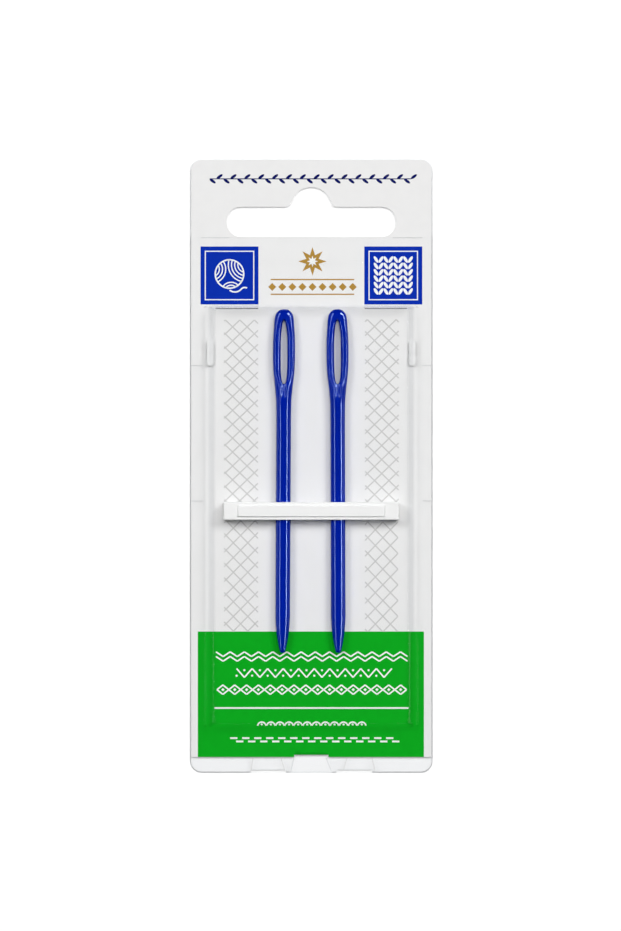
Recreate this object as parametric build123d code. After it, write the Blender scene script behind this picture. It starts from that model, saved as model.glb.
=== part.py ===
from build123d import *
import math
import os

# Hang pack with two plastic yarn needles, lying on its back.
# X runs across the pack, Y up towards the hang slot, Z out of the front.
# The origin is on the rear face, under the middle of the pack. Sizes are in millimetres.

# Pack outline, shared by the rear shell and the front cover
pack_width = 49.4
pack_length = 125.0
pack_corner = 2.35

# Stack of sheets
rear_wall = 0.35
card_thickness = 0.40
sheet_gap = 0.05
cover_wall = 0.30
cut_overrun = 1.0

# Hang slot: a long slot with a hump for a single peg
slot_length = 34.6
slot_height = 6.1
slot_drop = 9.8
hump_radius = 4.15
hump_rise = 4.0
hump_flank_angle = 28
hump_corner = 0.6

# Printed card
card_margin = 0.25
card_bottom_gap = 3.2
card_relief = 0.15

# Hook at the bottom of the rear shell, which laps over the card
hook_top_width = 6.4
hook_bottom_width = 8.1
hook_lap = 0.9
hook_wall = 0.25
hook_riser = 0.6
hook_foot_gap = 0.5
hook_window_gap = 0.2

# Snap studs, which stand up through the card and fill the pinches in the blister's foot
stud_length = 5.2
stud_width = 1.3
stud_height = 1.1
stud_up = 85.4
snap_clearance = 0.05
pinch_depth = 0.45
pinch_end_room = 0.4

# Living hinge straps
leaf_width = 6.9
leaf_spacing = 17.5
leaf_wall = 0.30
leaf_side_gap = 0.10
pad_top_width = 5.7
pad_length = 2.5
pad_rise = 0.15

# Front cover: flange, finger rib and cross beads
cover_drop = 16.0
rib_drop = 5.1
rib_length = 21.2
rib_radius = 0.65
bead_radius = 0.3
bead_rise = 0.2
bead_end_gap = 0.2
bead_up_low = 14.3
bead_up_high = 55.2
bead_up_snap = 82.7

# Front cover: blister over the needles
flange_width = 2.7
blister_up = 9.2
blister_top_room = 0.8
blister_height = 4.6
blister_corner = 0.8
step_height = 0.8
step_draw = 0.5
ledge_width = 0.5
side_draw = 1.3
top_draw = 0.6
bottom_draw = 1.1
crown_corner = 0.9
crown_fillet = 0.5

# Needle clip
clip_end_room = 4.2
clip_width = 3.6
clip_up = 53.3
clip_beam = 0.9
clip_leg = 2.75
clip_rib_end = 2.85
clip_rib_width = 2.3
clip_rib_rise = 0.4
clip_edge = 0.2
saddle_wall = 0.9
saddle_card_gap = 0.9
peg_radius = 0.8
peg_head_radius = 1.25
peg_clearance = 0.05

# Needles
needle_length = 69.85
shaft_diameter = 2.95
needle_clearance = 0.05
clip_from_top = 41.0
eye_head_length = 21.8
eye_head_width = 4.55
eye_head_thickness = 2.3
crown_width = 4.0
crown_length = 2.85
eye_length = 12.9
eye_width = 1.65
eye_drop = 2.25
eye_edge = 0.45
eye_sides = 28
gutter_length = 3.4
gutter_radius = 0.55
tip_taper_length = 8.0
tip_nose_radius = 0.6
taper_steps = 4
head_sides = 24
# Fullness of the curves of the crown and of the eye, where 2 is an ellipse
crown_power = 2.4
eye_power = 2.5
left_needle_x = -5.70
left_needle_lean = -0.285
right_needle_x = 5.42
right_needle_lean = 0.167

# Height along the head above the shaft, then width and thickness,
# as shares of the head's length, its widest width and the shaft's diameter
head_shares = [
    (0.150, 0.675, 0.98),
    (0.262, 0.770, 0.93),
    (0.375, 0.900, 0.86),
    (0.470, 0.967, 0.82),
    (0.600, 1.000, 0.79),
    (0.745, 0.965, 0.78),
]

# Sections round the crown and down the rounded rim of the eye, as angles up their profiles
crown_angles = (0, 28, 50, 68, 82)
rim_angles = (0, 35, 65)

# Levels and places worked out from the sizes above
top_y = pack_length / 2
bottom_y = -pack_length / 2
card_top = rear_wall + card_thickness
flange_low = card_top + sheet_gap
flange_top = flange_low + cover_wall
card_bottom_y = bottom_y + card_bottom_gap
cover_top_y = top_y - cover_drop
slot_top_y = top_y - slot_drop
hinge_z = flange_top / 2
leaf_bend = flange_top / 2
leaf_end_y = bottom_y + leaf_bend
clip_y = bottom_y + clip_up
blister_width = pack_width - 2 * flange_width
blister_low_y = bottom_y + blister_up
blister_high_y = clip_y + clip_from_top + blister_top_room
clip_length = blister_width - 2 * clip_end_room
needle_z = card_top + needle_clearance + shaft_diameter / 2
saddle_radius = shaft_diameter / 2 + needle_clearance
beam_low = needle_z + saddle_radius
beam_top = beam_low + clip_beam
pinch_x = blister_width / 2 - pinch_depth
stud_x = pinch_x - cover_wall - snap_clearance - stud_width / 2
stud_y = bottom_y + stud_up
peg_x = clip_length / 2 - clip_leg / 2

BASE = (Align.CENTER, Align.CENTER, Align.MIN)
SIDES = (-1, 1)


def raised(sketch, low, height):
    """A flat outline lifted to a level and thickened upwards."""
    return Pos(0, 0, low) * extrude(sketch, amount=height)


def band(width, low_y, high_y):
    """A rectangle across the middle of the pack between two heights."""
    return Pos(0, (low_y + high_y) / 2) * Rectangle(width, high_y - low_y)


def trapezoid(low_width, high_width, low_y, high_y):
    """A symmetrical outline that is wider or narrower at its upper side."""
    corners = [
        (-low_width / 2, low_y),
        (low_width / 2, low_y),
        (high_width / 2, high_y),
        (-high_width / 2, high_y),
    ]
    return make_face(Polyline(*corners, close=True))


def above(level):
    """All the space over the pack above a level."""
    return Pos(0, 0, level) * Box(pack_width, pack_length, pack_width, align=BASE)


def pack_outline(margin=0):
    """The rounded outline of the pack, drawn in by a margin."""
    width = pack_width - 2 * margin
    length = pack_length - 2 * margin
    return RectangleRounded(width, length, pack_corner - margin)


def hang_slot():
    """The hang slot: a round-ended slot and a hump with straight flanks."""
    slot = Pos(0, slot_top_y - slot_height / 2) * SlotOverall(slot_length, slot_height)
    flank = math.radians(hump_flank_angle)
    centre_y = slot_top_y + hump_rise - hump_radius
    touch_x = hump_radius * math.cos(flank)
    touch_y = centre_y + hump_radius * math.sin(flank)
    foot_x = touch_x + (touch_y - slot_top_y) * math.tan(flank)
    foot_y = slot_top_y - slot_height / 2
    low_x = touch_x + (touch_y - foot_y) * math.tan(flank)
    flanks = trapezoid(2 * low_x, 2 * touch_x, foot_y, touch_y)
    outline = slot + flanks + Pos(0, centre_y) * Circle(hump_radius)
    feet = [
        corner
        for corner in outline.vertices()
        if math.isclose(abs(corner.X), foot_x, rel_tol=1e-4)
        and math.isclose(corner.Y, slot_top_y, rel_tol=1e-4)
    ]
    return fillet(feet, hump_corner)


def hinge_notches():
    """The gaps in both halves of the case where the hinge straps bend."""
    gap = leaf_width + 2 * leaf_side_gap
    notch = band(gap, bottom_y - cut_overrun, leaf_end_y)
    return [Pos(side * leaf_spacing / 2, 0) * notch for side in SIDES]


def hook_plan(gap=0):
    """The hook seen from the front, with room round it for the cover's window."""
    high_y = card_bottom_y + hook_lap + gap
    grow = 2 * gap
    return trapezoid(hook_bottom_width + grow, hook_top_width + grow, bottom_y, high_y)


def stud_plan(gap=0):
    """A snap stud seen from the front, grown by a gap."""
    return SlotOverall(stud_length + 2 * gap, stud_width + 2 * gap, rotation=90)


def make_hook():
    """The formed tongue that rises through the card's notch and laps over the card."""
    riser_y = card_bottom_y - hook_riser / 2
    profile = Polyline(
        (bottom_y + hook_foot_gap, rear_wall),
        (riser_y, flange_low + hook_wall),
        (card_bottom_y + hook_lap, flange_low + hook_wall),
        (card_bottom_y + hook_lap, flange_low),
        (riser_y + hook_riser, flange_low),
        (riser_y + hook_riser, rear_wall),
        close=True,
    )
    side = extrude(Plane.YZ * make_face(profile), amount=hook_bottom_width / 2, both=True)
    return side & raised(hook_plan(), 0, beam_top)


def make_rear_shell():
    """The flat rear half of the case, with its hook and two hollow snap studs."""
    outline = pack_outline() - hang_slot()
    for notch in hinge_notches():
        outline -= notch
    shell = raised(outline, 0, rear_wall) + make_hook()
    for side in SIDES:
        at_stud = Pos(side * stud_x, stud_y)
        shell += at_stud * raised(stud_plan(), rear_wall, stud_height)
        shell -= at_stud * raised(stud_plan(-rear_wall), 0, stud_height)
        hole = Cone(peg_head_radius + peg_clearance, peg_radius + peg_clearance, rear_wall, align=BASE)
        shell -= Pos(side * peg_x, clip_y) * hole
    return shell


def make_printed_card():
    """The board, with the slot, the notch for the hook, stud holes and peg holes."""
    below_card = band(pack_width, bottom_y, card_bottom_y)
    outline = pack_outline(card_margin) - below_card - hang_slot()
    notch_top = card_bottom_y + hook_riser / 2 + card_relief
    outline -= band(hook_top_width + 4 * card_relief, card_bottom_y - cut_overrun, notch_top)
    for side in SIDES:
        outline -= Pos(side * stud_x, stud_y) * stud_plan(card_relief)
        outline -= Pos(side * peg_x, clip_y) * Circle(peg_radius + peg_clearance)
    return raised(outline, rear_wall, card_thickness)


def blister_plan(draw, end_draw_low, end_draw_high, corner):
    """A level section through the blister, drawn in from its base."""
    low_y = blister_low_y + end_draw_low
    high_y = blister_high_y - end_draw_high
    width = blister_width - 2 * draw
    return Pos(0, (low_y + high_y) / 2) * RectangleRounded(width, high_y - low_y, corner)


def drafted(low_plan, low, high_plan, high):
    """A solid whose walls slope from one level section to another."""
    return loft([Pos(0, 0, low) * low_plan, Pos(0, 0, high) * high_plan], ruled=True)


def blister_form(wall, low):
    """The stepped blister, drawn in by a wall."""
    step_top = flange_top + step_height - wall
    crown_top = flange_top + blister_height - wall
    ledge_in = step_draw + ledge_width
    corner = blister_corner - wall
    crown = crown_corner - wall
    base = blister_plan(wall, wall, wall, corner)
    step = blister_plan(step_draw + wall, wall, wall, corner)
    ledge = blister_plan(ledge_in + wall, wall, wall, corner)
    roof = blister_plan(
        ledge_in + side_draw + wall, bottom_draw + wall, top_draw + wall, crown
    )
    lower = raised(base, low, flange_top - low) + drafted(base, flange_top, step, step_top)
    return lower + drafted(ledge, step_top, roof, crown_top)


def pinches(wall):
    """The blocks beside the blister's foot that push it in towards the studs."""
    reach = pinch_depth + wall + cut_overrun
    length = stud_length + 2 * (pinch_end_room + wall)
    block = Box(reach, length, 2 * step_height, align=(Align.MIN, Align.CENTER, Align.CENTER))
    right = Pos(pinch_x - wall, stud_y, flange_top) * block
    return right + mirror(right, Plane.YZ)


def make_front_cover():
    """The clear front: flange, stepped blister with its pinches, finger rib and beads."""
    above_cover = band(pack_width, cover_top_y, top_y)
    flat = pack_outline() - above_cover - hook_plan(hook_window_gap)
    for notch in hinge_notches():
        flat -= notch
    cover = raised(flat, flange_low, cover_wall)
    blister = blister_form(0, flange_low)
    blister = fillet(blister.faces().sort_by(Axis.Z)[-1].edges(), crown_fillet)
    cover += blister - pinches(0)
    cover += finger_rib(rib_radius) & above(flange_low)
    reach = pack_width / 2 - blister_width / 2 - bead_end_gap
    for side in SIDES:
        for up in (bead_up_low, bead_up_high, bead_up_snap):
            bead = Rot(0, 90, 0) * Cylinder(bead_radius, reach)
            bead_x = side * (blister_width / 2 + reach / 2)
            bead = Pos(bead_x, bottom_y + up, flange_top + bead_rise - bead_radius) * bead
            cover += bead & above(flange_low)
        pad = trapezoid(leaf_width, pad_top_width, leaf_end_y, leaf_end_y + pad_length)
        cover += Pos(side * leaf_spacing / 2) * raised(pad, flange_low, cover_wall + pad_rise)
    cover -= blister_form(cover_wall, flange_low - cut_overrun) - pinches(cover_wall)
    cover -= finger_rib(rib_radius - cover_wall)
    return cover


def finger_rib(radius):
    """The half-round rib below the cover's free edge, with tapered ends."""
    straight = rib_length - 2 * rib_radius
    rib = Rot(0, 90, 0) * Cylinder(radius, straight)
    for side in SIDES:
        cap = Rot(0, side * 90, 0) * Cone(radius, radius / 2, radius, align=BASE)
        rib += Pos(side * straight / 2, 0, 0) * cap
    return Pos(0, cover_top_y - rib_drop, flange_low) * rib


def make_hinge_leaf(side):
    """A strap bent through a half circle from the rear half to the front half."""
    outer = flange_top / 2
    bend = Cylinder(outer, leaf_width) - Cylinder(outer - leaf_wall, leaf_width)
    bend = Rot(0, 90, 0) * bend
    front = Box(leaf_width, flange_top, flange_top, align=(Align.CENTER, Align.MAX, Align.CENTER))
    return Pos(side * leaf_spacing / 2, leaf_end_y, hinge_z) * (bend & front)


def needle_place(needle_x, lean):
    """Where a needle crosses the clip, and how it leans."""
    return Location((needle_x, clip_y, needle_z), (0, 0, lean))


def make_needle_clip():
    """The moulded bar, with rib, legs, saddles for both needles and staked pegs."""
    beam = Box(clip_length, clip_width, clip_beam, align=BASE)
    bar = Pos(0, clip_y, beam_low) * beam
    leg = Box(clip_leg, clip_width, beam_low - card_top, align=BASE)
    for side in SIDES:
        bar += Pos(side * peg_x, clip_y, card_top) * leg
    bar = chamfer(bar.faces().sort_by(Axis.Z)[-1].edges(), clip_edge)
    rib = Rectangle(clip_length - 2 * clip_rib_end, clip_rib_width)
    bar += Pos(0, clip_y) * raised(rib, beam_top, clip_rib_rise)
    bar = chamfer(bar.faces().sort_by(Axis.Z)[-1].edges(), clip_edge)
    for needle_x, lean in needle_sides:
        place = needle_place(needle_x, lean)
        lug_width = 2 * (saddle_radius + saddle_wall)
        lug_low = card_top + saddle_card_gap
        lug = Box(lug_width, clip_width, beam_low - lug_low, align=BASE)
        bar += Pos(needle_x, clip_y, lug_low) * lug
        bore = Rot(90, 0, 0) * Cylinder(saddle_radius, 2 * clip_width)
        mouth = Box(
            2 * saddle_radius,
            2 * clip_width,
            needle_z,
            align=(Align.CENTER, Align.CENTER, Align.MAX),
        )
        bar -= place * (bore + mouth)
    for side in SIDES:
        peg = Pos(0, 0, rear_wall) * Cylinder(peg_radius, card_thickness, align=BASE)
        peg += Cone(peg_head_radius, peg_radius, rear_wall, align=BASE)
        bar += Pos(side * peg_x, clip_y) * peg
    return bar


def needle_shaft(head_y, tip_y):
    """The round shaft and blunt tip, turned about the needle's axis.

    The taper follows an arc that leaves the shaft and runs into the ball of the nose.
    """
    radius = shaft_diameter / 2
    nose = tip_nose_radius
    rise = tip_taper_length - nose
    arc = (radius**2 - nose**2 + rise**2) / (2 * (radius - nose))
    turn = math.asin(rise / (arc - nose))
    profile = [(radius, head_y)]
    for step in range(taper_steps + 1):
        angle = turn * step / taper_steps
        across = radius - arc * (1 - math.cos(angle))
        profile.append((across, tip_y + tip_taper_length - arc * math.sin(angle)))
    ball = CenterArc((0, tip_y + nose), nose, -90, 90 - math.degrees(turn))
    sides = Polyline((0, tip_y), (0, head_y), *profile)
    return revolve(make_face(sides + ball), Axis.Y)


def fuller(share, power):
    """The sine or cosine of an ellipse, drawn out towards the corners by a power."""
    return math.copysign(abs(share) ** (2 / power), share)


def oval(width, height, sides=head_sides, power=2):
    """An oval drawn with straight sides: an ellipse, or fuller with a higher power."""
    corners = []
    for side in range(sides):
        turn = 2 * math.pi * side / sides
        across = fuller(math.cos(turn), power)
        along = fuller(math.sin(turn), power)
        corners.append((width / 2 * across, height / 2 * along))
    return make_face(Polyline(*corners, close=True))


def needle_head(head_y, top_y):
    """The flattened head that carries the eye, from the shaft to the round crown."""
    sections = [oval(shaft_diameter, shaft_diameter)]
    places = [head_y]
    for up, wide, thick in head_shares:
        sections.append(oval(eye_head_width * wide, shaft_diameter * thick))
        places.append(head_y + eye_head_length * up)
    for angle in crown_angles:
        narrow = fuller(math.cos(math.radians(angle)), crown_power)
        up_share = fuller(math.sin(math.radians(angle)), crown_power)
        sections.append(oval(crown_width * narrow, eye_head_thickness * narrow))
        places.append(top_y - crown_length * (1 - up_share))
    level = Rot(-90, 0, 0)
    along = [Pos(0, y, 0) * level * section for y, section in zip(places, sections)]
    return loft(along, ruled=True)


def eye_cutter():
    """The long hole of the eye, which opens out round its rims on both faces."""
    grow = [eye_edge * (1 - math.cos(math.radians(angle))) for angle in rim_angles]
    low = eye_head_thickness / 2 - eye_edge
    rise = [low + eye_edge * math.sin(math.radians(angle)) for angle in rim_angles]
    flare = math.tan(math.radians(rim_angles[-1]))
    grow.append(grow[-1] + eye_edge * flare)
    rise.append(rise[-1] + eye_edge)
    cutter = extrude(oval(eye_width, eye_length, eye_sides, eye_power), amount=low, both=True)
    rims = []
    for more, level in zip(grow, rise):
        opening = oval(eye_width + 2 * more, eye_length + 2 * more, eye_sides, eye_power)
        rims.append(Pos(0, 0, level) * opening)
    rim = loft(rims, ruled=True)
    return cutter + rim + mirror(rim, Plane.XY)


def make_needle():
    """One needle, lying along Y, with its origin where it crosses the clip."""
    top = clip_from_top
    tip = clip_from_top - needle_length
    head = top - eye_head_length
    needle = needle_shaft(head, tip) + needle_head(head, top)
    eye_y = top - eye_drop - eye_length / 2
    needle -= Pos(0, eye_y) * eye_cutter()
    gutter = Rot(90, 0, 0) * Cone(gutter_radius, 0, gutter_length)
    gutter_y = eye_y - eye_length / 2 - gutter_length / 2 + gutter_radius
    for side in SIDES:
        needle -= Pos(0, gutter_y, side * shaft_diameter / 2) * gutter
    return needle


needle_sides = [(left_needle_x, left_needle_lean), (right_needle_x, right_needle_lean)]


def build_parts():
    """Every piece of the pack by name."""
    needle = make_needle()
    return {
        "rear_shell": make_rear_shell(),
        "printed_card": make_printed_card(),
        "front_cover": make_front_cover(),
        "hinge_leaf_left": make_hinge_leaf(-1),
        "hinge_leaf_right": make_hinge_leaf(1),
        "needle_clip": make_needle_clip(),
        "needle_left": needle_place(left_needle_x, left_needle_lean) * needle,
        "needle_right": needle_place(right_needle_x, right_needle_lean) * needle,
    }


parts = build_parts()
os.makedirs("parts", exist_ok=True)
for name, part in parts.items():
    export_step(part, f"parts/{name}.step")
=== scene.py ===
import math

import bmesh
import bpy
from mathutils import Matrix, Vector


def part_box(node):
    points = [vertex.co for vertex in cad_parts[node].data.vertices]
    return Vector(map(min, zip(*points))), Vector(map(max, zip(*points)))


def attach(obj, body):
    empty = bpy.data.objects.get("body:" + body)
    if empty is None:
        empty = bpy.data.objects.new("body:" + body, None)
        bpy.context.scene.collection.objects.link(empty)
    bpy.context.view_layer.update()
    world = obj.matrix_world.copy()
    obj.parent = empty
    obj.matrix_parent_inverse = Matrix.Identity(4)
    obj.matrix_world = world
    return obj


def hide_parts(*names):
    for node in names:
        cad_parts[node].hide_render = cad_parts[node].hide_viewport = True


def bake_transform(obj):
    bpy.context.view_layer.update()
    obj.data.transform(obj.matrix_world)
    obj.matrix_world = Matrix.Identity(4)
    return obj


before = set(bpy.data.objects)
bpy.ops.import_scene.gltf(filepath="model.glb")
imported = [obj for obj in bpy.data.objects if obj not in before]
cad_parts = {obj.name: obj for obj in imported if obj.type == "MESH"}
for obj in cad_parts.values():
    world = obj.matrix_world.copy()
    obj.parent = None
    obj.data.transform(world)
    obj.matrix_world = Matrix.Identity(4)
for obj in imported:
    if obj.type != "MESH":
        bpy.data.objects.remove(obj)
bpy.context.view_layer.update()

# Hang pack with two plastic yarn needles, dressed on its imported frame.
# X runs across the pack, Y up towards the hang slot, Z out of the front.
# Sizes below are in millimetres, and every mesh is turned into metres as it is made.
MM = 0.001

# Levels and places taken from the frame
card_low, card_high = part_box("printed_card")
clip_low, clip_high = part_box("needle_clip")
shell_low, shell_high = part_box("rear_shell")
leaf_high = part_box("hinge_leaf_left")[1]
card_top = card_high.z / MM
clip_y = (clip_low.y + clip_high.y) / 2 / MM
clip_half_length = clip_high.x / MM

# Needles, as in the frame: where they cross the clip, and how they lean
needle_sides = {"needle_left": (-5.70, -0.285), "needle_right": (5.42, 0.167)}
needle_bodies = {"needle_left": "left_needle", "needle_right": "right_needle"}
clearance = 0.05
shaft_radius = 1.475
needle_z = card_top + clearance + shaft_radius
needle_top = 41.0
needle_length = 69.85
head_length = 21.8
head_width = 4.55
crown_length = 2.85
crown_width = 4.0
head_thickness = 2.3
crown_power = 2.4
eye_length = 12.9
eye_width = 1.36
eye_power = 2.3
eye_foot_power = 3.0
eye_drop = 2.25
rim_reach = 0.36
rim_level = 0.92
lip_reach = 0.09
lip_level = 0.62
taper_length = 8.0
nose_radius = 0.6

# Ink lies on the board as a thin film, in steps where one ink is over another
ink_film = 0.012
overlap_step = 0.0015

# Colours
blue_ink = (0.003, 0.028, 0.402)
navy_ink = (0.006, 0.010, 0.110)
green_ink = (0.004, 0.390, 0.014)
gold_ink = (0.430, 0.250, 0.050)
white_ink = (0.860, 0.880, 0.870)
grey_ink = (0.600, 0.595, 0.590)
needle_blue = (0.0003, 0.013, 0.350)
needle_shine = (0.44, 0.63, 1.0)
board_white = (0.83, 0.828, 0.825)
moulding_white = (0.89, 0.89, 0.885)
stud_light_white = (0.95, 0.95, 0.945)
crease_shade_grey = (0.75, 0.75, 0.745)
floor_grey = (0.82, 0.82, 0.82)


# Meshes

def direction(turn):
    """Cosine and sine of an angle in degrees."""
    return math.cos(math.radians(turn)), math.sin(math.radians(turn))


def new_piece(name, shape, material, body, smooth=False):
    """A mesh object in metres from a bmesh in millimetres, riding on a body."""
    bmesh.ops.recalc_face_normals(shape, faces=shape.faces)
    bmesh.ops.scale(shape, vec=(MM, MM, MM), verts=shape.verts)
    mesh = bpy.data.meshes.new(name)
    shape.to_mesh(mesh)
    shape.free()
    for face in mesh.polygons:
        face.use_smooth = smooth
    piece = bpy.data.objects.new(name, mesh)
    bpy.context.scene.collection.objects.link(piece)
    mesh.materials.append(material)
    if body:
        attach(piece, body)
    return piece


def add_plate(shape, outline, low, high):
    """A closed flat slab with the given outline between two levels."""
    bottom = [shape.verts.new((x, y, low)) for x, y in outline]
    top = [shape.verts.new((x, y, high)) for x, y in outline]
    shape.faces.new(list(reversed(bottom)))
    shape.faces.new(top)
    for i in range(len(outline)):
        j = (i + 1) % len(outline)
        shape.faces.new((bottom[i], bottom[j], top[j], top[i]))


def placed(outline, x, y, turn):
    """An outline drawn about the origin, turned in degrees and moved to a point."""
    c, s = direction(turn)
    return [(x + u * c - v * s, y + u * s + v * c) for u, v in outline]


def box_outline(x, y, width, height, turn=0):
    """The corners of a rectangle about its middle, turned by an angle in degrees."""
    u, v = width / 2, height / 2
    return placed([(-u, -v), (u, -v), (u, v), (-u, v)], x, y, turn)


def round_outline(x, y, width, height, count=20, turn=0):
    """An oval outline about its middle, turned by an angle in degrees."""
    steps = [2 * math.pi * i / count for i in range(count)]
    oval = [(width / 2 * math.cos(t), height / 2 * math.sin(t)) for t in steps]
    return placed(oval, x, y, turn)


def ink_piece(name, outlines, material, layer=0):
    """A printed shape on the board, made of one or more outlines."""
    shape = bmesh.new()
    low = card_top + layer * ink_film
    for i, outline in enumerate(outlines):
        add_plate(shape, outline, low, low + ink_film + i % 4 * overlap_step)
    return new_piece(name, shape, material, "case")


# Materials

# Noise mostly stays between these two values
noise_low, noise_high = 0.3, 0.7
# How steeply a mirror layer gains strength as the surface turns away
gloss_power = 5.0
# The clouds in a colour are this many times larger than the grain of its relief
cloud_size = 12
grain_depth = 0.00002


def new_material(name):
    """An empty node material and its tree."""
    material = bpy.data.materials.new(name)
    material.use_nodes = True
    material.node_tree.nodes.clear()
    return material, material.node_tree


def finish_material(material, tree, shader):
    """The finished material, with a shader as its surface."""
    out = tree.nodes.new("ShaderNodeOutputMaterial")
    tree.links.new(shader, out.inputs["Surface"])
    return material


def add_node(tree, kind, **values):
    """A shader node with some of its sockets or properties set by name."""
    node = tree.nodes.new(kind)
    for key, value in values.items():
        if key in node.inputs:
            node.inputs[key].default_value = value
        else:
            setattr(node, key, value)
    return node


def add_noise(tree, scale, detail=3.0, stretch=(1, 1, 1)):
    """Noise in the object's own space, in cycles per metre, drawn out along an axis."""
    place = tree.nodes.new("ShaderNodeTexCoord")
    spread = tree.nodes.new("ShaderNodeMapping")
    spread.inputs["Scale"].default_value = stretch
    noise = add_node(tree, "ShaderNodeTexNoise", Scale=scale, Detail=detail)
    tree.links.new(place.outputs["Object"], spread.inputs["Vector"])
    tree.links.new(spread.outputs["Vector"], noise.inputs["Vector"])
    return noise.outputs["Fac"]


def add_range(tree, value, low, high):
    """Noise mapped to a range of its own."""
    ends = {"From Min": noise_low, "From Max": noise_high, "To Min": low, "To Max": high}
    span = add_node(tree, "ShaderNodeMapRange", **ends)
    tree.links.new(value, span.inputs["Value"])
    return span.outputs["Result"]


def add_tint(tree, value, dark, light):
    """A colour that wanders between two shades."""
    ramp = tree.nodes.new("ShaderNodeValToRGB")
    stops = zip(ramp.color_ramp.elements, (noise_low, noise_high), (dark, light))
    for stop, place, colour in stops:
        stop.position = place
        stop.color = (*colour, 1)
    tree.links.new(value, ramp.inputs["Fac"])
    return ramp.outputs["Color"]


def shade(colour, factor):
    """A colour made darker or lighter by a factor."""
    return tuple(min(1.0, channel * factor) for channel in colour)


def add_gloss(tree, base, facing, gloss, roughness, normal, tint):
    """A mirror layer over a base, faint face on and stronger where the surface slopes."""
    shine = add_node(tree, "ShaderNodeBsdfGlossy", Color=(*tint, 1))
    tree.links.new(roughness, shine.inputs["Roughness"])
    tree.links.new(normal, shine.inputs["Normal"])
    power = add_node(tree, "ShaderNodeMath", operation="POWER")
    power.inputs[1].default_value = gloss_power
    tree.links.new(facing, power.inputs[0])
    span = add_node(tree, "ShaderNodeMapRange", **{"To Min": gloss[0], "To Max": gloss[1]})
    tree.links.new(power.outputs["Value"], span.inputs["Value"])
    both = tree.nodes.new("ShaderNodeMixShader")
    tree.links.new(span.outputs["Result"], both.inputs["Fac"])
    tree.links.new(base, both.inputs[1])
    tree.links.new(shine.outputs["BSDF"], both.inputs[2])
    return both.outputs["Shader"]


def solid_material(
    name, colour, vary, roughness, grain, bump, stretch=(1, 1, 1), specular=0, gloss=None, shine=None
):
    """An opaque surface: wandering colour, uneven roughness and a fine relief.

    The gloss, if it has one, is a mirror layer of its own with the colour of the shine.
    """
    material, tree = new_material(name)
    surface = add_node(tree, "ShaderNodeBsdfPrincipled", **{"Specular IOR Level": specular})
    cloud = add_noise(tree, grain / cloud_size, stretch=stretch)
    fine = add_noise(tree, grain, detail=5.0, stretch=stretch)
    tint = add_tint(tree, cloud, shade(colour, 1 - vary), shade(colour, 1 + vary))
    tree.links.new(tint, surface.inputs["Base Color"])
    rough = add_range(tree, fine, *roughness)
    tree.links.new(rough, surface.inputs["Roughness"])
    relief = add_node(tree, "ShaderNodeBump", Strength=bump, Distance=grain_depth)
    tree.links.new(fine, relief.inputs["Height"])
    tree.links.new(relief.outputs["Normal"], surface.inputs["Normal"])
    shader = surface.outputs["BSDF"]
    if gloss:
        slope = add_node(tree, "ShaderNodeLayerWeight", Blend=0.5)
        facing, normal = slope.outputs["Facing"], relief.outputs["Normal"]
        shader = add_gloss(tree, shader, facing, gloss, rough, normal, shine)
    return finish_material(material, tree, shader)


def ink_material(name, colour):
    """Offset ink on coated board."""
    return solid_material(
        name, colour, vary=0.03, roughness=(0.42, 0.58), grain=9000, bump=0.12, specular=0.02
    )


# How much light a face of the clear sheet lets through, by how far it turns from the eye.
# The two halves are darkest where they begin to slope and clearer again on their steep walls.
sheet_slopes = (0.53, 0.58, 0.63, 0.68, 0.78)
cover_clear = (0.999, 0.78, 0.90, 0.935, 0.995)
shell_clear = (0.94, 0.86, 0.90, 0.93, 0.93)
# The crease and edge films are tinted darker: painted shade along the creases and round the cut edge.
crease_shade_clear = (0.945, 0.92, 0.90, 0.88, 0.88)
edge_shade_clear = (0.94, 0.90, 0.88, 0.86, 0.86)
# The bend film is dark: a painted reflection of the squares in the blister's top bend.
bend_reflection_clear = (0.66, 0.64, 0.62, 0.60, 0.60)
sheet_cast = (1.0, 1.003, 1.006)
sheet_shine = (0.97, 0.98, 1.0)
sheet_roughness = (0.04, 0.12)
wave_scale, wave_strength, wave_depth = 160, 0.12, 0.0002
scuff_scale = 2600
film_scale, film_vary = 900, 0.03


def sheet_material(name, clearness, gloss):
    """Clear formed sheet: see-through face on, greyer and glossier where it slopes."""
    material, tree = new_material(name)
    slope = add_node(tree, "ShaderNodeLayerWeight", Blend=0.5)
    fade = tree.nodes.new("ShaderNodeValToRGB")
    stops = fade.color_ramp.elements
    while len(stops) < len(sheet_slopes):
        stops.new(0.5)
    for stop, place, share in zip(stops, sheet_slopes, clearness):
        stop.position = place
        stop.color = (*shade(sheet_cast, share), 1)
    tree.links.new(slope.outputs["Facing"], fade.inputs["Fac"])
    clear = tree.nodes.new("ShaderNodeBsdfTransparent")
    tree.links.new(fade.outputs["Color"], clear.inputs["Color"])
    wave = add_noise(tree, wave_scale, detail=2.0)
    scuff = add_noise(tree, scuff_scale, detail=6.0, stretch=(1, 3, 1))
    relief = add_node(tree, "ShaderNodeBump", Strength=wave_strength, Distance=wave_depth)
    tree.links.new(wave, relief.inputs["Height"])
    rough = add_range(tree, scuff, *sheet_roughness)
    facing, normal = slope.outputs["Facing"], relief.outputs["Normal"]
    shader = add_gloss(tree, clear.outputs["BSDF"], facing, gloss, rough, normal, sheet_shine)
    return finish_material(material, tree, shader)


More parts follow.
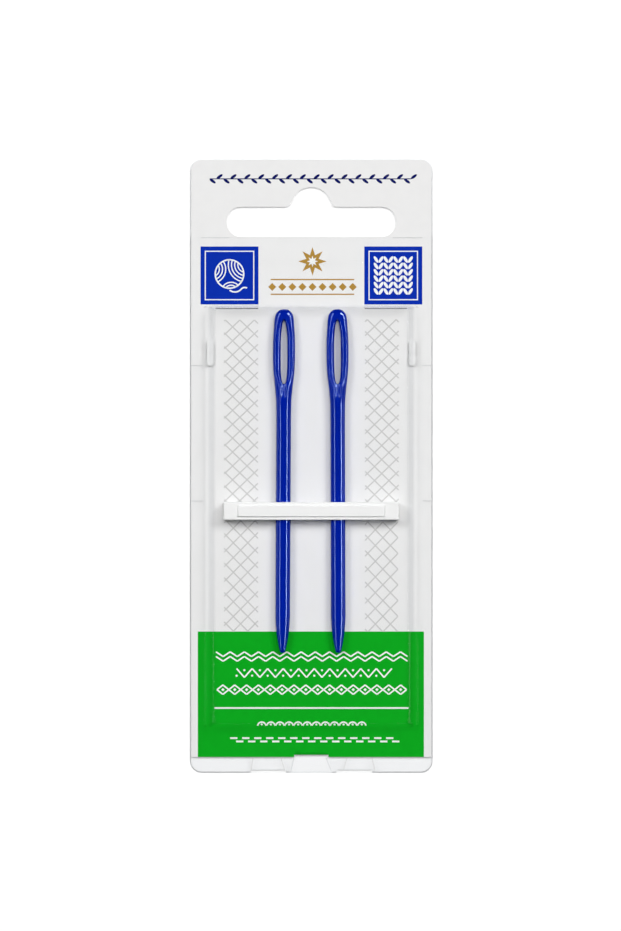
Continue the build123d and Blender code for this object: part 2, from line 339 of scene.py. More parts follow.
def painted_film_material(name, colour, clear_share):
    """A matte film that lets some light by: painted light over the shade round the studs, and painted
    shade on the strap creases.
    """
    material, tree = new_material(name)
    cloud = add_noise(tree, film_scale)
    tint = add_tint(tree, cloud, shade(colour, 1 - film_vary), shade(colour, 1 + film_vary))
    white = tree.nodes.new("ShaderNodeBsdfDiffuse")
    tree.links.new(tint, white.inputs["Color"])
    clear = tree.nodes.new("ShaderNodeBsdfTransparent")
    both = add_node(tree, "ShaderNodeMixShader", Fac=clear_share)
    tree.links.new(white.outputs["BSDF"], both.inputs[1])
    tree.links.new(clear.outputs["BSDF"], both.inputs[2])
    return finish_material(material, tree, both.outputs["Shader"])


def make_materials():
    """All the surfaces of the pack by name."""
    return {
        "board": solid_material(
            "coated_board", board_white, vary=0.01, roughness=(0.5, 0.7), grain=5200, bump=0.2,
            specular=0.03,
        ),
        "cover": sheet_material("clear_cover", cover_clear, gloss=(0.004, 0.32)),
        "shell": sheet_material("clear_shell", shell_clear, gloss=(0.004, 0.4)),
        # Painted shade: the crease films, the grey strap creases and the darker line round the cut
        # edge.
        "cover crease": sheet_material("sheet_crease_shade", crease_shade_clear, gloss=(0.02, 0.4)),
        "strap crease": painted_film_material("strap_crease_shade", crease_shade_grey, clear_share=0.0),
        "edge": sheet_material("sheet_edge_shade", edge_shade_clear, gloss=(0.02, 0.4)),
        # Painted reflection: the dark film in the blister's top bend.
        "bend": sheet_material("sheet_bend_reflection", bend_reflection_clear, gloss=(0.02, 0.4)),
        # Painted light: a pale film over the shade in and round the snap studs.
        "stud light": painted_film_material("stud_painted_light", stud_light_white, clear_share=0.10),
        "moulding": solid_material(
            "white_moulding", moulding_white, vary=0.01, roughness=(0.30, 0.42), grain=3600,
            bump=0.12, stretch=(0.4, 1, 1), specular=0.12,
        ),
        "needle": solid_material(
            "blue_plastic", needle_blue, vary=0.05, roughness=(0.04, 0.07), grain=2600,
            bump=0.008, stretch=(1, 0.25, 1), gloss=(0.075, 0.11), shine=needle_shine,
        ),
        "blue": ink_material("blue_ink", blue_ink),
        "navy": ink_material("navy_ink", navy_ink),
        "green": ink_material("green_ink", green_ink),
        "gold": ink_material("gold_ink", gold_ink),
        "white": ink_material("white_ink", white_ink),
        "grey": ink_material("grey_ink", grey_ink),
    }


# Needles

# Stations of the head: how far up it, and how wide and thick against its widest and the shaft
head_shares = [
    (0.745, 0.965, 0.78),
    (0.600, 1.000, 0.79),
    (0.470, 0.967, 0.82),
    (0.375, 0.900, 0.86),
    (0.262, 0.770, 0.93),
    (0.150, 0.675, 0.98),
]


def head_profile():
    """Drop below the needle's top, full width and thickness, down the head to the shaft."""
    shaft = 2 * shaft_radius
    rows = [(crown_length, crown_width, head_thickness)]
    for up, wide, thick in head_shares:
        rows.append((head_length * (1 - up), head_width * wide, shaft * thick))
    return rows + [(head_length, shaft, shaft)]


def girth(drop):
    """Half width and half thickness of the needle at a drop below its top."""
    if drop < crown_length:
        share = 1 - (1 - drop / crown_length) ** crown_power
        round_off = max(0.0, share) ** (1 / crown_power)
        return crown_width / 2 * round_off, head_thickness / 2 * round_off
    rows = head_profile()
    for (low, w0, t0), (high, w1, t1) in zip(rows, rows[1:]):
        if drop <= high:
            share = (drop - low) / (high - low)
            return (w0 + (w1 - w0) * share) / 2, (t0 + (t1 - t0) * share) / 2
    left = needle_length - drop
    if left >= taper_length:
        return shaft_radius, shaft_radius
    rise = taper_length - nose_radius
    arc = (shaft_radius**2 - nose_radius**2 + rise**2) / (2 * (shaft_radius - nose_radius))
    if left < nose_radius * (1 - rise / (arc - nose_radius)):
        half = math.sqrt(max(0.0, nose_radius**2 - (nose_radius - left) ** 2))
    else:
        half = shaft_radius - arc + math.sqrt(arc**2 - (taper_length - left) ** 2)
    return half, half


# Stations down the needle as drops below its top; the eye's own rows lie between them
crown_drops = (0.05, 0.28, 0.75, 1.35)
neck_drops = (16.3, 17.2, 18.2, 19.4, 21.0, 22.6)
gutter_depths = (0.52, 0.42, 0.22, 0.04, 0, 0)
shaft_drops = (27.0, 34.0, 41.0, 48.0, 55.0, 60.0)
tip_drops = (61.9, 63.6, 65.3, 66.8, 68.0, 68.9, 69.45, 69.7, 69.81)
eye_turns = (78, 60, 38, 15, -10, -35, -58, -78)
quarter_turns = (0, 28, 50, 68, 90)
front_turns = quarter_turns + tuple(180 - turn for turn in reversed(quarter_turns[:-1]))
ring_turns = front_turns + tuple(360 - turn for turn in reversed(front_turns[1:-1]))
limb_turns = quarter_turns[:3]
# Turns round a limb's own section: its outside, then its rim and its lip towards the eye
round_turns = (0, 36, 74)
rim_turns = (122, 156)
limb_height = 0.90


def add_ring(shape, drop, gutter=0):
    """Points round the needle; the front and back middle ones dip into the gutter."""
    half, deep = girth(drop)
    ring = []
    for turn in ring_turns:
        c, s = direction(turn)
        dip = gutter * s if turn in (90, 270) else 0
        ring.append(shape.verts.new((half * c, needle_top - drop, deep * s - dip)))
    return ring


def eye_point(turn):
    """A point of the eye's outline about its middle, and the way out from it."""
    power = eye_power if turn > 0 else eye_foot_power
    share = Vector([math.copysign(abs(part) ** (2 / power), part) for part in direction(turn)])
    outline = Vector((eye_width / 2 * share.x, eye_length / 2 * share.y))
    slope = [math.copysign(abs(part) ** (power - 1), part) for part in share]
    return outline, Vector((slope[0] / eye_width, slope[1] / eye_length)).normalized()


def add_eye_row(shape, turn, eye_y):
    """A row beside the eye: a right and a left limb, each a closed ring."""
    outline, away = eye_point(turn)
    y = eye_y + outline.y
    half, deep = girth(needle_top - y)
    middle, reach_across = (half + outline.x) / 2, (half - outline.x) / 2
    roundness = 1 - direction(turn)[1] ** 4

    def round_point(own_turn):
        c, s = direction(own_turn)
        return Vector((middle + reach_across * c, y, deep * limb_height * s))

    front = []
    for outer_turn, own_turn in zip(limb_turns, round_turns):
        c, s = direction(outer_turn)
        front.append(Vector((half * c, y, deep * s)).lerp(round_point(own_turn), roundness))
    brims = zip((rim_reach, lip_reach), (rim_level, lip_level), rim_turns)
    for reach, level, own_turn in brims:
        spot = outline + away * reach
        lift = deep * math.sqrt(1 - (spot.x / half) ** 2)
        flat = Vector((spot.x, eye_y + spot.y, lift * level))
        front.append(flat.lerp(round_point(own_turn), roundness))
    ring = front + [(outline.x, y, 0)] + [(x, v, -z) for x, v, z in reversed(front[1:])]
    return [[shape.verts.new((side * x, v, z)) for x, v, z in ring] for side in (1, -1)]


def add_eye_end(shape, way, eye_y):
    """The five middle points at one end of the eye, from the front rim to the back."""
    end = eye_y + way * eye_length / 2
    deep = girth(needle_top - end)[1]
    rim, lip = deep * rim_level, deep * lip_level
    if way < 0:
        rim -= gutter_depths[0] / 2
    spots = [(rim_reach, rim), (lip_reach, lip), (0, 0), (lip_reach, -lip), (rim_reach, -rim)]
    return [shape.verts.new((0, end + way * reach, z)) for reach, z in spots]


def join_rings(shape, first, second):
    """Quads between two rings of the same count."""
    for i in range(len(first)):
        j = (i + 1) % len(first)
        shape.faces.new((first[i], first[j], second[j], second[i]))


def join_to_eye(shape, ring, limbs, end):
    """Quads from a full ring to the first row beside the eye."""
    right, left = limbs
    rim = len(limb_turns)
    outer = right[: rim + 1] + [end[0]] + left[rim::-1]
    outer += left[: rim + 3 : -1] + [end[4]] + right[rim + 4 :]
    join_rings(shape, ring, outer)
    for step in range(4):
        near, far = rim + step, rim + step + 1
        shape.faces.new((right[near], end[step], end[step + 1], right[far]))
        shape.faces.new((end[step], left[near], left[far], end[step + 1]))


def close_end(shape, ring, y):
    """A fan of faces from the last ring to a point on the axis."""
    point = shape.verts.new((0, y, 0))
    for i in range(len(ring)):
        shape.faces.new((ring[i], ring[(i + 1) % len(ring)], point))


def needle_cage():
    """The control cage of a needle, lying along Y with its origin at the clip."""
    shape = bmesh.new()
    eye_y = needle_top - eye_drop - eye_length / 2
    crown = [add_ring(shape, drop) for drop in crown_drops]
    close_end(shape, crown[0], needle_top)
    rows = [add_eye_row(shape, turn, eye_y) for turn in eye_turns]
    below = [add_ring(shape, drop, dip) for drop, dip in zip(neck_drops, gutter_depths)]
    below += [add_ring(shape, drop) for drop in shaft_drops + tip_drops]
    close_end(shape, below[-1], needle_top - needle_length)
    for first, second in zip(crown, crown[1:]):
        join_rings(shape, first, second)
    join_to_eye(shape, crown[-1], rows[0], add_eye_end(shape, 1, eye_y))
    for upper, lower in zip(rows, rows[1:]):
        for first, second in zip(upper, lower):
            join_rings(shape, first, second)
    join_to_eye(shape, below[0], rows[-1], add_eye_end(shape, -1, eye_y))
    for first, second in zip(below, below[1:]):
        join_rings(shape, first, second)
    return shape


def pass_through_points(piece, rounds=6, push=0.9):
    """Pushes a cage out until its smooth surface passes through the points it had."""
    wanted = [corner.co.copy() for corner in piece.data.vertices]
    smooth = piece.modifiers.new("smooth", "SUBSURF")
    smooth.levels = smooth.render_levels = 1
    for _ in range(rounds):
        graph = bpy.context.evaluated_depsgraph_get()
        made = piece.evaluated_get(graph).to_mesh()
        reached = [made.vertices[i].co.copy() for i in range(len(wanted))]
        piece.evaluated_get(graph).to_mesh_clear()
        for corner, want, got in zip(piece.data.vertices, wanted, reached):
            corner.co += (want - got) * push
        piece.data.update()
        bpy.context.view_layer.update()
    smooth.levels = smooth.render_levels = 3


def make_needles(material):
    """Both needles in their places under the clip."""
    for name, (across, lean) in needle_sides.items():
        shape = needle_cage()
        turn = Matrix.Rotation(math.radians(lean), 4, "Z")
        place = Matrix.Translation((across, clip_y, needle_z)) @ turn
        shape.transform(place)
        piece = new_piece(name + "_smooth", shape, material, None, smooth=True)
        pass_through_points(piece)
        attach(piece, needle_bodies[name])
        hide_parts(name)


# Clip

clip_half_width = 1.8
clip_leg = 2.75
clip_wall = 0.9
beam_low = needle_z + shaft_radius + clearance
beam_top = beam_low + clip_wall
saddle_radius = shaft_radius + clearance
saddle_reach = saddle_radius + clip_wall
saddle_low = card_top + clip_wall
rib_end = 2.85
rib_half_width = 1.15
rib_rise = 0.4
rib_root = 0.1
peg_radius = 0.8
peg_head = 1.25
peg_head_height = 0.35
soft_edge = 0.22
sharp_angle = 35
saddle_step = 12


def clip_front():
    """The clip seen from below: beam, legs and the two saddles, in X and Z."""
    end = clip_half_length
    outline = [(-end, card_top), (-end, beam_top), (end, beam_top), (end, card_top)]
    outline += [(end - clip_leg, card_top), (end - clip_leg, beam_low)]
    for across, _ in reversed(list(needle_sides.values())):
        outline += [(across + saddle_reach, beam_low), (across + saddle_reach, saddle_low)]
        outline.append((across + saddle_radius, saddle_low))
        for turn in range(0, 181, saddle_step):
            c, s = direction(turn)
            outline.append((across + saddle_radius * c, needle_z + saddle_radius * s))
        outline.append((across - saddle_radius, saddle_low))
        outline += [(across - saddle_reach, saddle_low), (across - saddle_reach, beam_low)]
    return outline + [(-end + clip_leg, beam_low), (-end + clip_leg, card_top)]


def add_turned(shape, x, y, profile, count=32):
    """A closed turned form about an upright axis, from radii and levels."""
    rings = []
    for radius, level in profile:
        turns = [2 * math.pi * i / count for i in range(count)]
        ring = [(x + radius * math.cos(t), y + radius * math.sin(t), level) for t in turns]
        rings.append([shape.verts.new(point) for point in ring])
    for first, second in zip(rings, rings[1:]):
        join_rings(shape, first, second)
    shape.faces.new(rings[0])
    shape.faces.new(rings[-1])


def make_clip(material):
    """The moulded bar with soft edges, its rib and the staked pegs behind the card."""
    shape = bmesh.new()
    add_plate(shape, clip_front(), -clip_half_width, clip_half_width)
    upright = Matrix.Translation((0, clip_y, 0)) @ Matrix.Rotation(math.pi / 2, 4, "X")
    shape.transform(upright)
    rib = box_outline(0, clip_y, 2 * (clip_half_length - rib_end), 2 * rib_half_width)
    add_plate(shape, rib, beam_top - rib_root, beam_top + rib_rise)
    for side in (-1, 1):
        x = side * (clip_half_length - clip_leg / 2)
        head = [(peg_head, 0), (peg_radius, peg_head_height), (peg_radius, card_top)]
        add_turned(shape, x, clip_y, head)
    piece = new_piece("needle_clip_moulded", shape, material, "case")
    edge = piece.modifiers.new("soft_edges", "BEVEL")
    edge.width = soft_edge * MM
    edge.segments = 4
    edge.limit_method = "ANGLE"
    edge.angle_limit = math.radians(sharp_angle)
    edge.harden_normals = True
    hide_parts("needle_clip")


# Hinge straps

strap_wall = 0.3
strap_steps = 24


def make_hinge_straps(material):
    """Thin straps curved round the cover's fold, in place of the two rigid half rings."""
    for name in ("hinge_leaf_left", "hinge_leaf_right"):
        low, high = (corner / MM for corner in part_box(name))
        outer = (high.z - low.z) / 2
        inner = outer - strap_wall
        centre_y, centre_z = high.y, (low.z + high.z) / 2
        shape = bmesh.new()
        rows = []
        for step in range(strap_steps + 1):
            c, s = direction(90 + 180 * step / strap_steps)
            row = []
            for x, radius in ((low.x, outer), (high.x, outer), (high.x, inner), (low.x, inner)):
                row.append(shape.verts.new((x, centre_y + radius * c, centre_z + radius * s)))
            rows.append(row)
        for first, second in zip(rows, rows[1:]):
            join_rings(shape, first, second)
        shape.faces.new(rows[0])
        shape.faces.new(rows[-1])
        piece = new_piece(name + "_strap", shape, material, None)
        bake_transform(piece)
        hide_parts(name)


# Print on the board

square_size = 11.8
square_centres = {"left": (-16.65, 38.73), "right": (16.69, 38.73)}
frame_inset = 0.86
frame_line = 0.22
panel_left, panel_right = -23.10, 22.93
panel_top, panel_low = -33.76, -59.30
panel_notch_half, panel_notch_top = 3.5, -58.85
rule_y = -49.33
rule_left, rule_right = -19.7, 19.8
rule_line = 0.34
ball_up = 0.3
ball_radius, ball_line = 2.9, 0.24
# The yarn on the ball runs in arcs about far points: their turns round it, and their radii
ball_far = 3.7
ball_arcs = {30: (1.5, 2.15, 2.8, 3.45), 165: (1.5, 2.15, 2.8), 275: (1.4, 2.0)}
# The loose end is two arcs: places from the ball's middle, radius, and turns at both ends
yarn_end = ((1.1, -1.9, 1.75, 232, 318), (3.1, -3.7, 0.95, 138, 60))
end_line = 0.3
stitch_wide, stitch_long, stitch_lean, stitch_aside = 0.62, 1.55, 32, 0.5
stitch_pitch_x, stitch_pitch_y = 2.0, 1.3
patch_rows, patch_columns = 6, 4
emblem_x = 0.24
star_y, star_outer, star_inner = 41.6, 2.9, 1.35
heart_outer, heart_inner = 1.15, 0.55
lozenge_y, lozenge_size, lozenge_pitch, lozenges_aside = 36.4, 1.15, 2.05, 4
bar_levels, bar_length, bar_line = (34.9, 37.9), 17.0, 0.26
band_left, band_right, band_y = -21.4, 21.0, 58.4
band_leaves, band_stem = 30, 0.2
leaf_length, leaf_width, leaf_lean = 1.5, 0.58, 36
leaf_out, leaf_up = 0.75, 0.78
trellis_line = 0.27
trellis_columns = range(-2, 3)
# Sides, a node, the pitch across and along, and the top and foot of each block
trellis_blocks = {
    "left_upper": (-17.75, -10.85, -17.5, 29.67, 2.95, 2.83, 29.67, clip_y),
    "left_lower": (-17.75, -10.85, -17.35, -11.2, 2.95, 3.0, clip_y, panel_top),
    "right_upper": (10.95, 17.8, 11.4, 29.75, 2.93, 2.85, 29.75, clip_y),
    "right_lower": (10.95, 17.8, 11.5, -11.45, 3.07, 3.2, clip_y, panel_top),
}
# Rows of stitches: level, left and right ends, pitch, height and line
stitch_rows = {
    "double zigzag": (-38.85, -19.4, 19.6, 1.45, 1.9, 0.3),
    "zigzag": (-42.2, -15.2, 16.4, 1.6, 1.8, 0.3),
    "chain": (-45.6, -19.2, 19.4, 2.4, 1.9, 0.3),
    "scallop": (-52.3, -11.0, 11.2, 1.9, 1.5, 0.3),
    "running": (-55.8, -17.0, 17.2, 2.4, 1.5, 0.36),
}
# Parts of a stitch against its line, its pitch or half its height
dot_share, knot_share = 1.5, 1.6
zigzag_dot_up, scallop_dot_down = 0.62, 0.5
scallop_reach, scallop_turns = 0.92, (8, 172)
dash_share, dash_up = 0.6, 0.45


def line_outline(start, end, width):
    """A straight stroke between two points."""
    a, b = Vector(start), Vector(end)
    aside = (b - a).normalized().orthogonal() * width / 2
    return [tuple(a - aside), tuple(b - aside), tuple(b + aside), tuple(a + aside)]


def frame_outlines(x, y, size, line):
    """Four strokes round a square."""
    half = (size - line) / 2
    return [
        box_outline(x, y + half, size, line),
        box_outline(x, y - half, size, line),
        box_outline(x + half, y, line, size - 2 * line),
        box_outline(x - half, y, line, size - 2 * line),
    ]


def arc_outline(x, y, radius, start, end, width, steps=18):
    """A curved stroke about a centre."""
    ways = [direction(start + (end - start) * i / steps) for i in range(steps + 1)]
    outer, inner = radius + width / 2, radius - width / 2
    outline = [(x + outer * c, y + outer * s) for c, s in ways]
    return outline + [(x + inner * c, y + inner * s) for c, s in reversed(ways)]


def make_squares(paint):
    """Two blue squares with a white frame: a ball of yarn and a knitted patch."""
    for side, (x, y) in square_centres.items():
        ink_piece(f"blue_square_{side}", [box_outline(x, y, square_size, square_size)], paint["blue"])
        lines = frame_outlines(x, y, square_size - 2 * frame_inset, frame_line)
        ink_piece(f"square_frame_{side}", lines, paint["white"], layer=1)
    x, y = square_centres["left"]
    ink_piece("square_motif_left", yarn_ball(x, y + ball_up), paint["white"], layer=1)
    x, y = square_centres["right"]
    ink_piece("square_motif_right", knit_patch(x, y), paint["white"], layer=1)


def yarn_ball(x, y):
    """A wound ball of yarn with a loose end."""
    strokes = [arc_outline(x, y, ball_radius, 0, 360, end_line, steps=48)]
    for turn, reaches in ball_arcs.items():
        c, s = direction(turn)
        u, v = x + ball_far * c, y + ball_far * s
        for reach in reaches:
            share = (ball_far**2 + reach**2 - ball_radius**2) / (2 * ball_far * reach)
            spread = math.degrees(math.acos(share))
            start, end = turn + 180 - spread, turn + 180 + spread
            strokes.append(arc_outline(u, v, reach, start, end, ball_line))
    for right, up, radius, start, end in yarn_end:
        strokes.append(arc_outline(x + right, y + up, radius, start, end, end_line))
    return strokes


def knit_patch(x, y):
    """Nested stitches of plain knitting."""
    strokes = []
    for row in range(patch_rows):
        v = y + (row - (patch_rows - 1) / 2) * stitch_pitch_y
        for column in range(patch_columns):
            u = x + (column - (patch_columns - 1) / 2) * stitch_pitch_x
            for side in (-1, 1):
                place, turn = u + side * stitch_aside, -side * stitch_lean
                strokes.append(round_outline(place, v, stitch_wide, stitch_long, count=14, turn=turn))
    return strokes


def star_outline(x, y, outer, inner, points=8):
    """A pointed star outline."""
    outline = []
    for i in range(2 * points):
        radius = outer if i % 2 == 0 else inner
        turn = math.pi * i / points
        outline.append((x + radius * math.cos(turn), y + radius * math.sin(turn)))
    return outline


def make_emblem(paint):
    """A gold star over a row of lozenges."""
    outlines = [star_outline(emblem_x, star_y, star_outer, star_inner)]
    for step in range(-lozenges_aside, lozenges_aside + 1):
        x = emblem_x + step * lozenge_pitch
        outlines.append(box_outline(x, lozenge_y, lozenge_size, lozenge_size, turn=45))
    outlines += [box_outline(emblem_x, level, bar_length, bar_line) for level in bar_levels]
    ink_piece("gold_ornament", outlines, paint["gold"])
    heart = star_outline(emblem_x, star_y, heart_outer, heart_inner)
    ink_piece("gold_ornament_heart", [heart], paint["white"], layer=1)


def make_header_band(paint):
    """A running garland of leaves on a stem, in navy."""
    length = band_right - band_left
    step = length / band_leaves
    outlines = [box_outline((band_left + band_right) / 2, band_y, length - step, band_stem)]
    for i in range(band_leaves):
        turn = leaf_lean if i % 2 else -leaf_lean
        c, s = direction(turn)
        x, y = band_left + (i + 0.5) * step + leaf_out * c, band_y + leaf_up * s
        outlines.append(round_outline(x, y, leaf_length, leaf_width, count=16, turn=turn))
    ink_piece("header_band", outlines, paint["navy"])


def clipped_line(start, end, left, right, low):
    """A stroke cut off at the sides and the foot of its column, or nothing."""
    a, b = Vector(start), Vector(end)
    near, far = 0.0, 1.0
    way = b - a
    for axis, edge, inside in ((0, left, 1), (0, right, -1), (1, low, 1)):
        gap_a, gap_b = (a[axis] - edge) * inside, (b[axis] - edge) * inside
        if gap_a < 0 and gap_b < 0:
            return None
        if gap_a < 0:
            near = max(near, gap_a / (gap_a - gap_b))
        elif gap_b < 0:
            far = min(far, gap_a / (gap_a - gap_b))
    if (far - near) * way.length < trellis_line:
        return None
    return line_outline(a + way * near, a + way * far, trellis_line)


def make_trellis(paint):
    """Columns of crossed lines beside the needles, in a block above and one below the clip."""
    for name, (left, right, node_x, node_y, pitch_x, pitch_y, top, low) in trellis_blocks.items():
        strokes = []
        rows = math.ceil((top - low) / pitch_y) + 1
        for row in range(rows):
            for column in trellis_columns:
                x, y = node_x + column * pitch_x, node_y - row * pitch_y
                for start_x, end_x in ((x, x + pitch_x), (x + pitch_x, x)):
                    ends = (start_x, y), (end_x, y - pitch_y)
                    strokes.append(clipped_line(*ends, left, right, low))
        ink_piece(f"trellis_{name}", [line for line in strokes if line], paint["grey"])


def stitch_row(kind, y, left, right, pitch, height, line):
    """One row of sampler stitches between two sides."""
    count = round((right - left) / pitch)
    step = (right - left) / count
    outlines = []
    u, v = step / 2, height / 2
    dot, knot, dash = line * dot_share, line * knot_share, step * dash_share
    for i in range(count):
        x = left + (i + 0.5) * step
        if kind == "double zigzag":
            up = v / 2 if i % 2 else -v / 2
            for level in (y - v / 2, y + v / 2):
                outlines.append(line_outline((x - u, level - up), (x + u, level + up), line))
        elif kind == "chain":
            outlines += [
                line_outline((x - u, y), (x, y + v), line),
                line_outline((x, y + v), (x + u, y), line),
                line_outline((x + u, y), (x, y - v), line),
                line_outline((x, y - v), (x - u, y), line),
                box_outline(x, y, knot, knot, turn=45),
            ]
        elif kind == "zigzag":
            up = v if i % 2 else -v
            outlines.append(line_outline((x - u, y - up), (x + u, y + up), line))
            outlines.append(round_outline(x - u, y + up * zigzag_dot_up, dot, dot, count=10))
        elif kind == "scallop":
            outlines.append(arc_outline(x, y - v, u * scallop_reach, *scallop_turns, line))
            outlines.append(round_outline(x, y - v * scallop_dot_down, dot, dot, count=10))
        else:
            outlines.append(box_outline(x, y + v * dash_up, dash, line))
            outlines.append(box_outline(x + u, y - v * dash_up, dash, line))
    return outlines


def make_panel(paint):
    """The green panel with its white rule and rows of sampler stitches."""
    notch = [(-panel_notch_half, panel_low), (-panel_notch_half, panel_notch_top)]
    notch += [(-x, y) for x, y in reversed(notch)]
    block = [(panel_left, panel_top), (panel_left, panel_low), *notch]
    block += [(panel_right, panel_low), (panel_right, panel_top)]
    ink_piece("green_panel", [block], paint["green"])
    rule = box_outline((rule_left + rule_right) / 2, rule_y, rule_right - rule_left, rule_line)
    ink_piece("panel_rule", [rule], paint["white"], layer=1)
    for kind, sizes in stitch_rows.items():
        name = "stitches_" + kind.replace(" ", "_")
        ink_piece(name, stitch_row(kind, *sizes), paint["white"], layer=1)


# Marks in the clear sheet: straight creases from one point to another, and its cut edge, tinted darker
# as painted shade
crease_width = 0.16
crease_rise = 0.02
strap_creases = [
    ((-11.87, -59.40), (-12.28, -62.10)),
    ((-6.17, -59.51), (-5.35, -62.10)),
    ((7.27, -59.51), (6.45, -62.00)),
    ((12.36, -59.51), (12.97, -62.10)),
]
tongue_creases = [((-3.52, -59.40), (-4.13, -62.10)), ((2.99, -59.40), (4.01, -62.10))]
flange_creases = [
    ((-24.4, 20.37), (-22.1, 20.37)),
    ((22.6, 20.37), (24.4, 20.37)),
    ((-24.4, -7.2), (-22.1, -7.2)),
    ((22.6, -7.2), (24.4, -7.2)),
    ((-22.4, 46.41), (-16.6, 46.41)),
    ((16.6, 46.41), (22.6, 46.41)),
]
edge_shade_width = 0.17
corner_radius = 2.35
strap_inner, strap_outer = 5.1, 12.4


def sheet_piece(name, strokes, level, material, body):
    """Raised strokes on a face of the clear sheet."""
    shape = bmesh.new()
    for i, stroke in enumerate(strokes):
        add_plate(shape, stroke, level, level + crease_rise + i % 4 * overlap_step)
    new_piece(name, shape, material, body)


def make_sheet_marks(paint):
    """The creases in the cover's flange and at the straps, and a line round the back half's cut edge,
    all tinted darker as painted shade.
    """
    kinds = {"strap": strap_creases, "cover": tongue_creases + flange_creases}
    for kind, creases in kinds.items():
        strokes = [line_outline(start, end, crease_width) for start, end in creases]
        sheet_piece(kind + "_crease_shades", strokes, leaf_high.z / MM, paint[kind + " crease"], "cover")
    inset = edge_shade_width / 2
    side, foot, top = shell_high.x / MM - inset, shell_low.y / MM + inset, shell_high.y / MM
    bend = side - corner_radius + inset
    strokes = [line_outline((-strap_inner, foot), (strap_inner, foot), edge_shade_width)]
    for way, start in ((-1, 180), (1, 270)):
        x, y = way * bend, foot + corner_radius - inset
        strokes.append(line_outline((way * side, y), (way * side, top - corner_radius), edge_shade_width))
        strokes.append(line_outline((x, foot), (way * strap_outer, foot), edge_shade_width))
        strokes.append(arc_outline(x, y, corner_radius - inset, start, start + 90, edge_shade_width))
    sheet_piece("shell_edge_shade", strokes, card_low.z / MM, paint["edge"], "case")


# Snap studs of the back half: a pale skin over each and round its foot, painted light over the shade
# in the gap round the stud
stud_x, stud_y = 20.55, 22.9
stud_width, stud_length = 1.3, 5.2
stud_top = 1.45
stud_gap = 0.14
skin = 0.015


def slot_outline(x, y, width, length, steps=12):
    """A slot with round ends, standing upright."""
    reach, radius = (length - width) / 2, width / 2
    ways = [direction(180 * i / steps) for i in range(steps + 1)]
    upper = [(x + radius * c, y + reach + radius * s) for c, s in ways]
    return upper + [(x - radius * c, y - reach - radius * s) for c, s in ways]


def make_stud_painted_light(paint):
    """A pale skin over each snap stud and round its foot: painted light over the shade in and round
    the stud's hole.
    """
    shape = bmesh.new()
    foot_width, foot_length = stud_width + 2 * stud_gap, stud_length + 2 * stud_gap
    for x in (-stud_x, stud_x):
        top = slot_outline(x, stud_y, stud_width, stud_length)
        add_plate(shape, top, stud_top, stud_top + skin)
        foot = slot_outline(x, stud_y, foot_width, foot_length)
        add_plate(shape, foot, card_top - 2 * skin, card_top - skin)
    new_piece("stud_painted_light_skins", shape, paint["stud light"], "case")


# Painted reflection: a dark line in the blister's top bend, standing in for the bend mirroring the
# squares' lower edges
bend_outer = 19.4
bend_y, bend_z = 31.5, 5.1
bend_radius = 0.6
bend_turns = (22, 34, 46)


def make_bend_reflection_lines(paint):
    """A thin dark stroke under each square, laid round the blister's top bend as a painted reflection
    of the square's lower edge.
    """
    shape = bmesh.new()
    for side in ("left", "right"):
        x, way = square_centres[side][0], -1 if side == "left" else 1
        ends = sorted((way * bend_outer, x - way * square_size / 2))
        rows = []
        for radius in (bend_radius + skin, bend_radius + 2 * skin):
            for turn in bend_turns:
                c, s = direction(turn)
                y, z = bend_y + radius * s, bend_z + radius * c
                rows.append([shape.verts.new((end, y, z)) for end in ends])
        count = len(bend_turns)
        loop = rows[:count] + rows[count:][::-1]
        for i, row in enumerate(loop):
            after = loop[(i + 1) % len(loop)]
            shape.faces.new((row[0], row[1], after[1], after[0]))
        shape.faces.new([row[0] for row in loop])
        shape.faces.new([row[1] for row in reversed(loop)])
    new_piece("cover_bend_reflection_lines", shape, paint["bend"], "cover")


def dress_frame(paint):
    """Materials for the CAD pieces that stay."""
    for node, finish in (("printed_card", "board"), ("front_cover", "cover"), ("rear_shell", "shell")):
        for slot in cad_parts[node].material_slots:
            slot.material = paint[finish]


# Setting

floor_side, floor_depth, floor_gap = 3000, 2.0, 0.02
floor_lift = 0.32
# Lamps: leans across and up from straight overhead, distance, width, height and radiance
broad_lamps = {
    "overhead": (3, 10, 1.2, 0.42, 0.42, 11.0),
    "right_key": (31, 25, 1.2, 0.42, 0.42, 10.2),
    "left_key": (-31, 22, 1.2, 0.42, 0.42, 8.7),
}
glint_lamps = {
    "right_strip": (57, 4, 0.8, 0.9, 0.12, 19.0),
    "left_strip": (-50, 4, 0.8, 0.9, 0.12, 8.0),
    "right_glint": (43, 47, 0.8, 0.30, 0.30, 22.0),
    "left_glint": (-43, 47, 0.8, 0.18, 0.18, 11.0),
}
# The sky is dim, and brighter at the horizon than overhead
haze_low, haze_high = 0.2, 0.9
haze_near, haze_far = 0.10, 0.03
# Camera: where it looks, and the height of its picture at the board
view_x, view_y = -0.16, 0.04
view_height = 189.55
lens, sensor = 180, 36


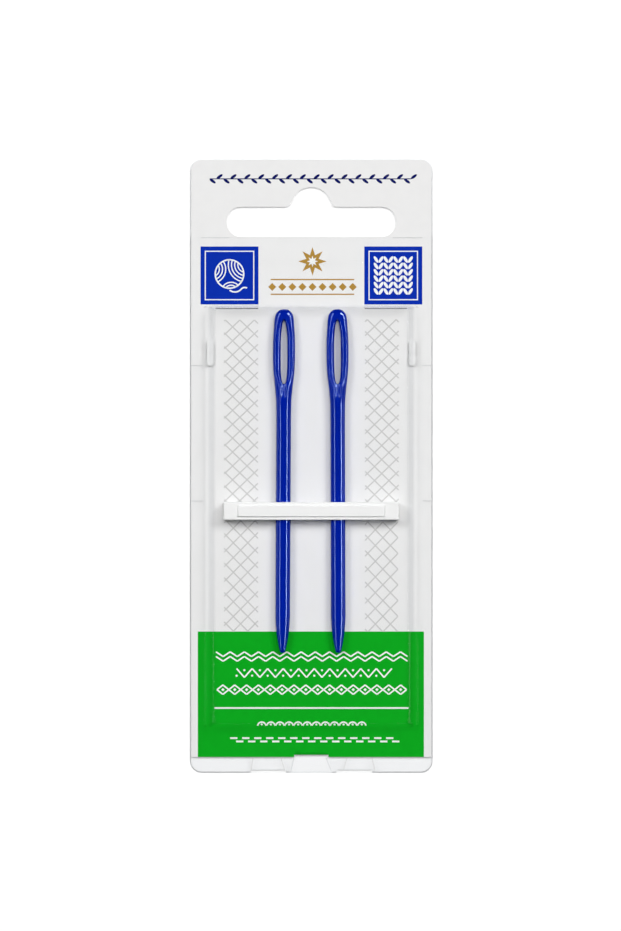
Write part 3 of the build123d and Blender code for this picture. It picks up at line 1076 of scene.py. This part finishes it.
def make_floor():
    """A plain pale floor that reads white and keeps the shadow of the pack."""
    material, tree = new_material("floor_white")
    matte = add_node(tree, "ShaderNodeBsdfDiffuse", Color=(*floor_grey, 1))
    glow = add_node(tree, "ShaderNodeEmission", Color=(1, 1, 1, 1))
    path = tree.nodes.new("ShaderNodeLightPath")
    seen = path.outputs["Is Camera Ray"]
    for kind in ("Is Glossy Ray", "Is Transmission Ray"):
        either = add_node(tree, "ShaderNodeMath", operation="MAXIMUM")
        tree.links.new(seen, either.inputs[0])
        tree.links.new(path.outputs[kind], either.inputs[1])
        seen = either.outputs["Value"]
    lift = add_node(tree, "ShaderNodeMath", operation="MULTIPLY")
    lift.inputs[1].default_value = floor_lift
    tree.links.new(seen, lift.inputs[0])
    tree.links.new(lift.outputs["Value"], glow.inputs["Strength"])
    both = tree.nodes.new("ShaderNodeAddShader")
    tree.links.new(matte.outputs["BSDF"], both.inputs[0])
    tree.links.new(glow.outputs["Emission"], both.inputs[1])
    finish_material(material, tree, both.outputs["Shader"])
    shape = bmesh.new()
    add_plate(shape, box_outline(0, 0, floor_side, floor_side), -floor_depth, -floor_gap)
    new_piece("floor", shape, material, None)


def add_lamp(name, lean_x, lean_y, distance, width, height, radiance, glint):
    """A soft rectangular lamp facing the pack, placed by its leans from straight overhead.

    The broad lamps light the pack; the glint lamps are only seen mirrored in glossy surfaces.
    """
    away = Vector((math.tan(math.radians(lean_x)), math.tan(math.radians(lean_y)), 1)).normalized()
    light = bpy.data.lights.new(name, "AREA")
    light.shape = "RECTANGLE"
    light.size, light.size_y = width, height
    light.energy = radiance * math.pi * width * height
    lamp = bpy.data.objects.new(name, light)
    lamp.location = away * distance
    lamp.rotation_euler = away.to_track_quat("Z", "Y").to_euler()
    lamp.visible_glossy = glint
    lamp.visible_diffuse = not glint
    bpy.context.scene.collection.objects.link(lamp)


def make_lights():
    """Three broad lamps, a strip and a small lamp on each side for glints, and a pale horizon."""
    for lamps, glint in ((broad_lamps, False), (glint_lamps, True)):
        for name, sizes in lamps.items():
            add_lamp(name, *sizes, glint)
    world = bpy.data.worlds.new("studio")
    world.use_nodes = True
    tree = world.node_tree
    place = tree.nodes.new("ShaderNodeTexCoord")
    split = tree.nodes.new("ShaderNodeSeparateXYZ")
    tree.links.new(place.outputs["Generated"], split.inputs["Vector"])
    ends = {"From Min": haze_low, "From Max": haze_high, "To Min": haze_near, "To Max": haze_far}
    fall = add_node(tree, "ShaderNodeMapRange", **ends)
    tree.links.new(split.outputs["Z"], fall.inputs["Value"])
    tree.links.new(fall.outputs["Result"], tree.nodes["Background"].inputs["Strength"])
    bpy.context.scene.world = world


def make_camera():
    """The photograph's view: straight down on the pack through a long lens."""
    camera = bpy.data.cameras.new("camera")
    camera.lens = lens
    camera.sensor_width = sensor
    distance = view_height * lens / sensor
    view = bpy.data.objects.new("camera", camera)
    view.location = (view_x * MM, view_y * MM, (distance + card_top) * MM)
    bpy.context.scene.collection.objects.link(view)
    bpy.context.scene.camera = view


def build_scene():
    """Everything, from the camera to the print."""
    bpy.context.scene.view_settings.view_transform = "Standard"
    make_camera()
    make_floor()
    make_lights()
    paint = make_materials()
    dress_frame(paint)
    make_needles(paint["needle"])
    make_clip(paint["moulding"])
    make_hinge_straps(paint["cover"])
    make_squares(paint)
    make_emblem(paint)
    make_header_band(paint)
    make_trellis(paint)
    make_panel(paint)
    make_sheet_marks(paint)
    make_stud_painted_light(paint)
    make_bend_reflection_lines(paint)


build_scene()
bpy.context.view_layer.update()
